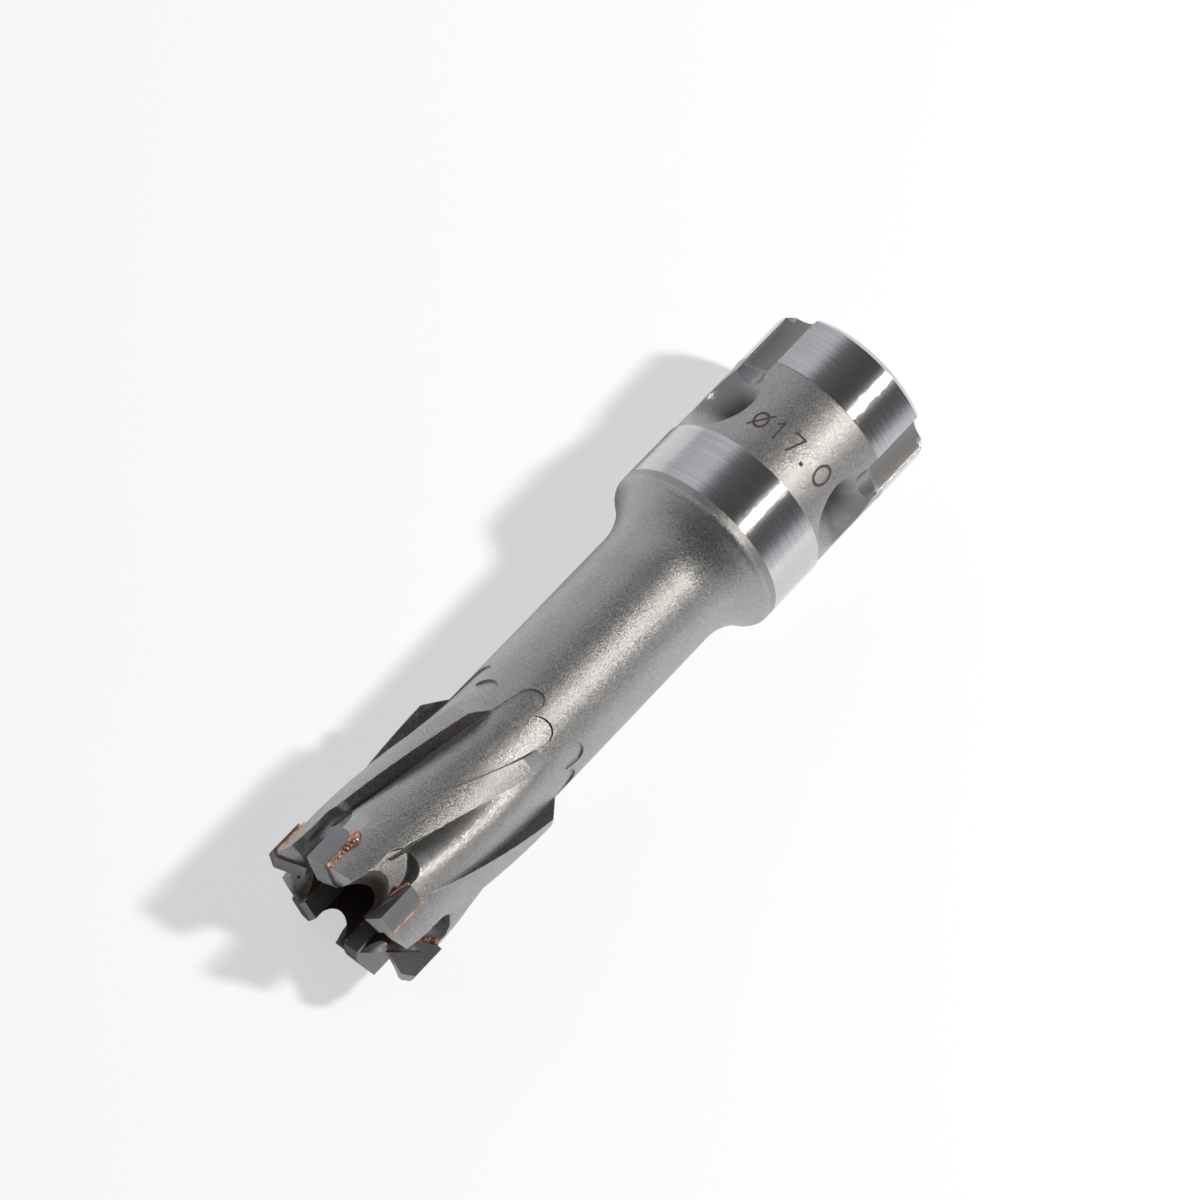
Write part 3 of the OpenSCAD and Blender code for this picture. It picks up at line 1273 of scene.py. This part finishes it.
@dataclass
class Table:
    """The white table that the tool lies on."""

    reach: float = 6.0
    colour: Colour = (0.86, 0.86, 0.87)
    glow: Colour = (0.97, 0.97, 0.975)
    glow_share: float = 0.58
    fibre: Colour = (0.80, 0.80, 0.815)

    def build(self) -> bpy.types.Object:
        """Makes the table.

        Returns:
            The table's object.
        """
        paint = Paint("white_paper")
        point = paint.node("ShaderNodeTexCoord").outputs["Object"]
        fibres = paint.noise(point, 900.0, 3.0, 0.6)
        colour = paint.blend(fibres * 0.12, self.colour, self.fibre)
        material = paint.finish(Base_Color=colour, Roughness=0.9, Specular_IOR_Level=0.15)
        glow = paint.node("ShaderNodeEmission", None, {"Color": self.glow})
        seen = paint.value("ShaderNodeLightPath", None, None, "Is Camera Ray")
        mixed = paint.node(
            "ShaderNodeMixShader",
            None,
            {0: seen * self.glow_share, 1: paint.shader.outputs["BSDF"], 2: glow.outputs["Emission"]},
        )
        paint.put(paint.output.inputs["Surface"], mixed.outputs["Shader"])
        shape = bmesh.new()
        bmesh.ops.create_grid(shape, x_segments=8, y_segments=8, size=self.reach)
        mesh = bpy.data.meshes.new("white_table")
        shape.to_mesh(mesh)
        shape.free()
        mesh.materials.append(material)
        table = bpy.data.objects.new("white_table", mesh)
        bpy.context.scene.collection.objects.link(table)
        return table


class Lamp(Enum):
    """The studio's lamps: direction from the tool, distance, size, power, colour and whether metal shows them."""

    KEY = ((0.387, -0.430, 0.8156), 0.7, 0.04, 1.5, (1.0, 0.955, 0.895), True)
    TABLE = ((0.40, -0.47, 0.785), 0.7, 0.05, 4.2, (1.0, 0.985, 0.97), False)


@dataclass
class Studio:
    """Lamps, surroundings and camera."""

    sky: float = 1.0
    dim_toward: tuple[float, float, float] = (0.387, -0.282, 0.878)
    room: tuple[tuple[float, Colour], ...] = (
        (0.0, (0.62, 0.612, 0.66)),
        (0.52, (0.74, 0.732, 0.79)),
        (0.68, (0.17, 0.17, 0.175)),
        (1.0, (0.07, 0.07, 0.07)),
    )
    front_toward: tuple[float, float, float] = (-0.86, -0.12, 0.5)
    front_reach: tuple[float, float] = (0.45, 0.88)
    front: Colour = (0.07, 0.07, 0.072)
    eye: tuple[float, float, float] = (-0.234815, -0.042211, 0.539479)
    forward: tuple[float, float, float] = (0.408242, 0.077339, -0.909592)
    up: tuple[float, float, float] = (0.655543, 0.668591, 0.351067)
    focal_px: float = 6500.0
    image_px: float = 1200.0

    def build(self) -> None:
        """Sets up the lamps, the surroundings and the camera."""
        for lamp in Lamp:
            self._lamp(lamp)
        self._surroundings()
        self._camera()
        view = bpy.context.scene.view_settings
        view.view_transform = "Standard"

    @staticmethod
    def _lamp(lamp: Lamp) -> None:
        """Hangs one lamp.

        Args:
            lamp: Which one.
        """
        direction, distance, size, power, colour, shown = lamp.value
        light = bpy.data.lights.new(lamp.name.lower(), "AREA")
        light.energy = power
        light.size = size
        light.shape = "SQUARE"
        light.color = colour
        holder = bpy.data.objects.new(lamp.name.lower(), light)
        where = Vector(direction).normalized() * distance
        holder.location = where
        holder.rotation_euler = (-where).to_track_quat("-Z", "Y").to_euler()
        holder.visible_glossy = shown
        bpy.context.scene.collection.objects.link(holder)

    def _surroundings(self) -> None:
        """Makes a room that is dim overhead, behind the key lamp, and bright all round below."""
        world = bpy.data.worlds.new("studio")
        bpy.context.scene.world = world
        world.use_nodes = True
        room = Nodes(world.node_tree)
        over = self._toward(room, self.dim_toward)
        colour = room.node("ShaderNodeValToRGB", {"stops": self.room}, {"Fac": over}).outputs["Color"]
        front = self._toward(room, self.front_toward).ease(*self.front_reach)
        colour = room.blend(front, colour, self.front)
        back = room.node("ShaderNodeBackground", None, {"Color": colour, "Strength": self.sky})
        room.node("ShaderNodeOutputWorld", None, {"Surface": back.outputs["Background"]})

    @staticmethod
    def _toward(room: Nodes, direction: Sequence[float]) -> Value:
        """Measures how nearly a part of the room lies in a direction.

        Args:
            room: The room's nodes.
            direction: The direction.

        Returns:
            1 straight ahead, 0 or less beside and behind.
        """
        look = room.node("ShaderNodeTexCoord").outputs["Generated"]
        ahead = tuple(Vector(direction).normalized())
        return room.value("ShaderNodeVectorMath", {"operation": "DOT_PRODUCT"}, {0: look, 1: ahead}, "Value")

    def _camera(self) -> None:
        """Places the camera at the photograph's angle."""
        lens = bpy.data.cameras.new("camera")
        lens.sensor_width = 36.0
        lens.lens = 36.0 * self.focal_px / self.image_px
        lens.clip_start = 0.01
        lens.clip_end = 20.0
        camera = bpy.data.objects.new("camera", lens)
        forward = Vector(self.forward).normalized()
        right = forward.cross(Vector(self.up)).normalized()
        up = right.cross(forward)
        turn = Matrix((right, up, -forward)).transposed()
        camera.matrix_world = Matrix.Translation(Vector(self.eye)) @ turn.to_4x4()
        bpy.context.scene.collection.objects.link(camera)
        bpy.context.scene.camera = camera


def main() -> None:
    """Builds the cutter's pieces and the studio in order."""
    logging.basicConfig(level=logging.INFO, format="%(name)s: %(message)s")
    body = CutterBody().build()
    LOG.info("%s: %d faces", body.name, len(body.data.polygons))
    for piece in CarbideTips().build() + BrazeJoints().build():
        LOG.info("%s: %d faces", piece.name, len(piece.data.polygons))
    Table().build()
    Studio().build()


if __name__ == "__main__":
    main()
